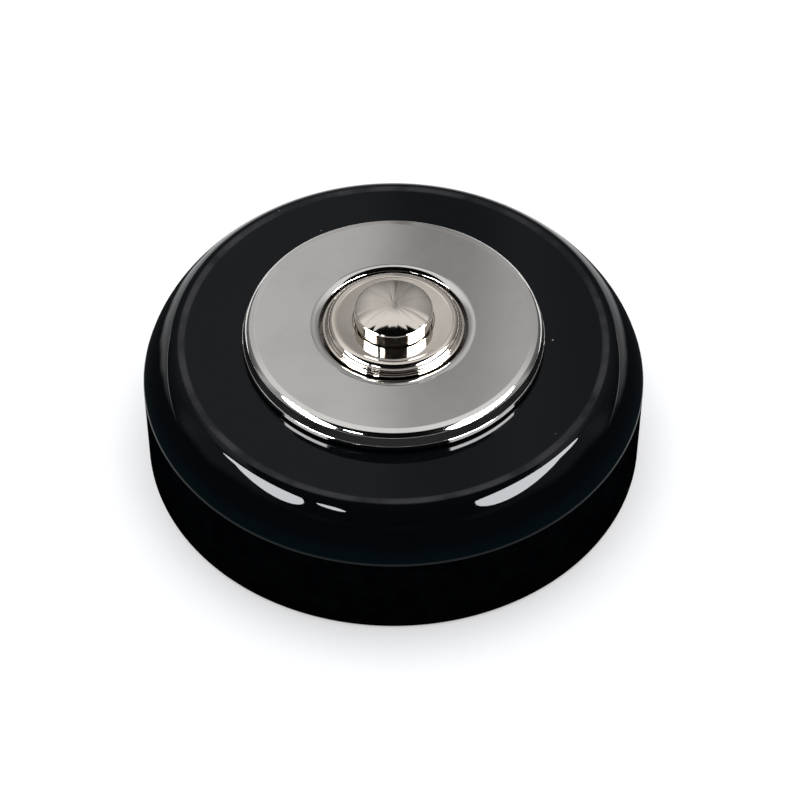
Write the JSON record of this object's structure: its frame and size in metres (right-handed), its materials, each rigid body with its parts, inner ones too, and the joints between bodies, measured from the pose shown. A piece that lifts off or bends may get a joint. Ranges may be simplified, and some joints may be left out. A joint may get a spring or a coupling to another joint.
{
  "type": "doorbell push button",
  "caption": "Round doorbell push with a black glazed base, a polished nickel cover plate and a slightly domed nickel button in a raised collar.",
  "frame": {"origin": "centre of the back face that lies against the wall", "axes": "+Z out of the wall, along the travel of the button; X through the two wall fixing holes"},
  "size_m": [0.085, 0.085, 0.0335],
  "materials": {
    "glazed_base": "glossy black glaze, dark teal where it thins at the edges",
    "gasket_rubber": "matt",
    "plate_nickel": "polished nickel plate on brass",
    "collar_nickel": "polished nickel plate on brass",
    "button_nickel": "polished nickel plate, rayed dome on top",
    "spring_steel": "bright drawn wire",
    "brass": "turned",
    "bronze_leaf": "rolled bronze strip",
    "silver": "polished",
    "moulded_insulator": "dark brown moulding, satin",
    "screw_steel": "zinc plated"
  },
  "bodies": {
    "housing": {"base": "glazed_base", "plate_gasket": "gasket_rubber", "cover_plate": "plate_nickel", "collar": "collar_nickel", "return_spring": "spring_steel", "guide_bush": "brass", "captive_nut": "brass", "contact_block": "moulded_insulator", "block_screws": "screw_steel", "moving_contact": "bronze_leaf", "moving_tip": "silver", "fixed_contact": "brass", "fixed_tip": "silver", "terminal_posts": "brass", "terminal_screws": "brass", "terminal_washers": "brass"},
    "push": {"push_button": "button_nickel", "stem_tip": "moulded_insulator"}
  },
  "joints": [
    {"name": "press", "type": "slide", "parent": "housing", "child": "push", "axis": [0, 0, -1], "range_m": [0, 0.0015], "stiffness_N_per_m": 600, "springref_m": -0.004, "deforming": ["return_spring", "moving_contact", "moving_tip"]}
  ]
}
